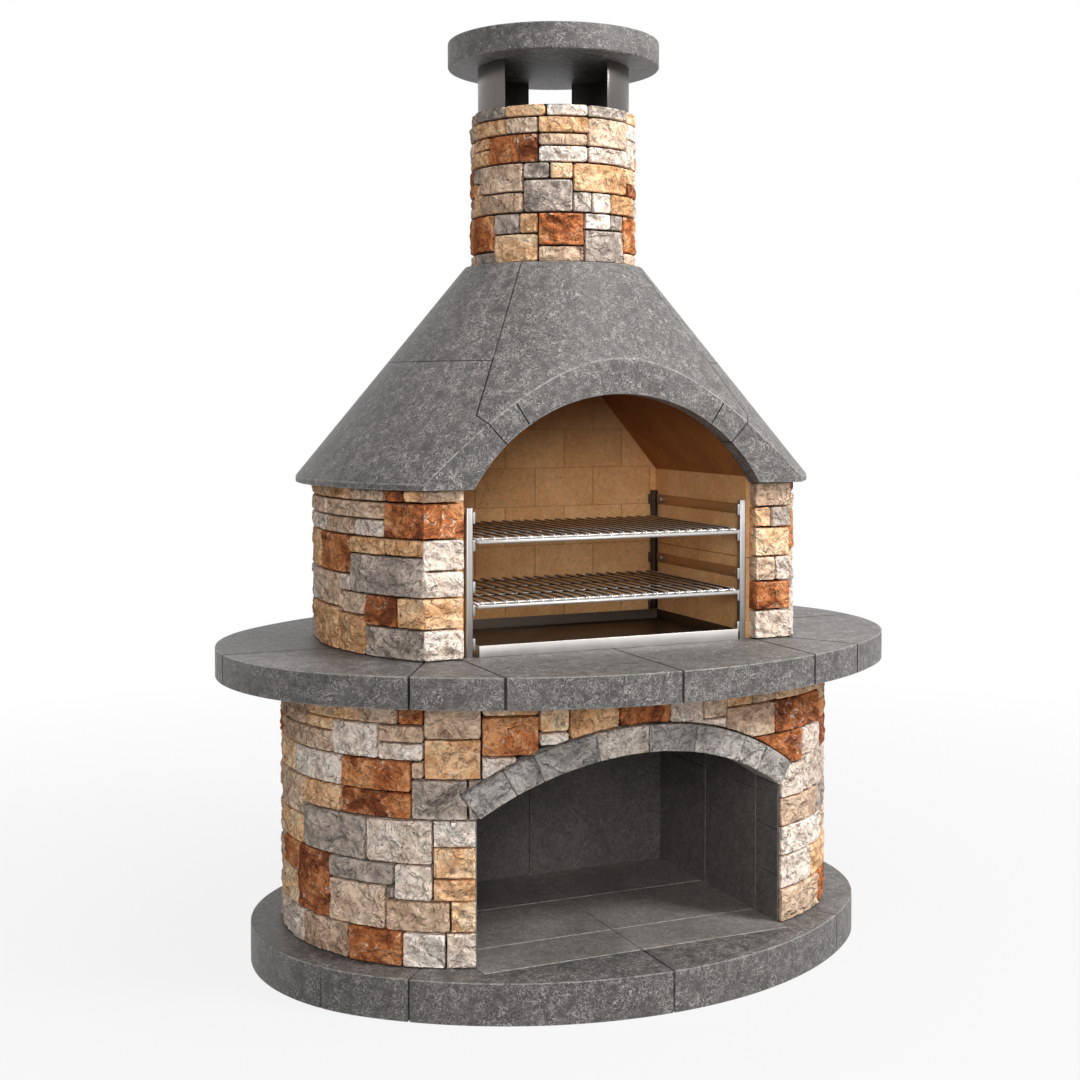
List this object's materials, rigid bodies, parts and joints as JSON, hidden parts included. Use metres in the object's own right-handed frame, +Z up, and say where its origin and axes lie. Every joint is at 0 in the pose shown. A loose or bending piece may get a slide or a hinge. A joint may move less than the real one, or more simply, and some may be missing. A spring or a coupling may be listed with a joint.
{
  "type": "masonry barbecue",
  "caption": "Free-standing oval masonry barbecue: stone-clad wood store with an arch, worktop, open firebox with sliding grids and an ash tray, conical hood and capped chimney.",
  "frame": {"origin": "on the ground, under the middle of the oval worktop", "axes": "+Z up, -Y out of the open front of the firebox, +X to the right seen from the front"},
  "size_m": [1.732, 1.29, 2.251],
  "materials": {
    "slab": "flamed grey stone",
    "store_lining": "dark sawn stone",
    "block_core": "rough light concrete",
    "stone_rust": "split face",
    "stone_honey": "split face",
    "stone_cream": "split face",
    "stone_grey": "split face",
    "stone_taupe": "split face",
    "arch_grey": "split face",
    "arch_beige": "split face",
    "firebrick": "matt fired clay",
    "steel": "brushed"
  },
  "bodies": {
    "masonry": {"arch_stones_beige": "arch_beige", "arch_stones_grey": "arch_grey", "base_back": "slab", "base_corner_left": "slab", "base_corner_right": "slab", "base_front_left": "slab", "base_front_right": "slab", "base_side_left": "slab", "base_side_right": "slab", "body_core": "block_core", "body_stones_cream": "stone_cream", "body_stones_grey": "stone_grey", "body_stones_honey": "stone_honey", "body_stones_rust": "stone_rust", "body_stones_taupe": "stone_taupe", "cap_supports": "steel", "chimney_cap": "slab", "chimney_stones_cream": "stone_cream", "chimney_stones_grey": "stone_grey", "chimney_stones_honey": "stone_honey", "chimney_stones_rust": "stone_rust", "chimney_stones_taupe": "stone_taupe", "firebox_back_bricks": "firebrick", "firebox_side_bricks": "firebrick", "flue_ring": "block_core", "hearth_slab": "slab", "hood_front": "slab", "hood_lower_left": "slab", "hood_lower_right": "slab", "hood_upper_left": "slab", "hood_upper_right": "slab", "rack_bolts": "steel", "rack_clips": "steel", "rack_lugs": "steel", "rack_rails": "steel", "rack_uprights": "steel", "smoke_chamber_panels": "firebrick", "store_back_panels": "store_lining", "store_floor_tiles": "store_lining", "store_jamb_blocks": "store_lining", "store_side_panels": "store_lining", "wall_core": "block_core", "wall_stones_cream": "stone_cream", "wall_stones_grey": "stone_grey", "wall_stones_honey": "stone_honey", "wall_stones_rust": "stone_rust", "wall_stones_taupe": "stone_taupe", "worktop_corner_left": "slab", "worktop_corner_right": "slab", "worktop_front_left": "slab", "worktop_front_right": "slab", "worktop_wing_back_left": "slab", "worktop_wing_back_right": "slab", "worktop_wing_front_left": "slab", "worktop_wing_front_right": "slab"},
    "upper_grid_body": {"upper_grid": "steel"},
    "lower_grid_body": {"lower_grid": "steel"},
    "ash_tray_body": {"ash_tray": "steel"}
  },
  "joints": [
    {"name": "upper_grid_slide", "type": "slide", "parent": "masonry", "child": "upper_grid_body", "axis": [0, -1, 0], "range_m": [0, 0.4]},
    {"name": "lower_grid_slide", "type": "slide", "parent": "masonry", "child": "lower_grid_body", "axis": [0, -1, 0], "range_m": [0, 0.4]},
    {"name": "ash_tray_slide", "type": "slide", "parent": "masonry", "child": "ash_tray_body", "axis": [0, -1, 0], "range_m": [0, 0.4]}
  ]
}
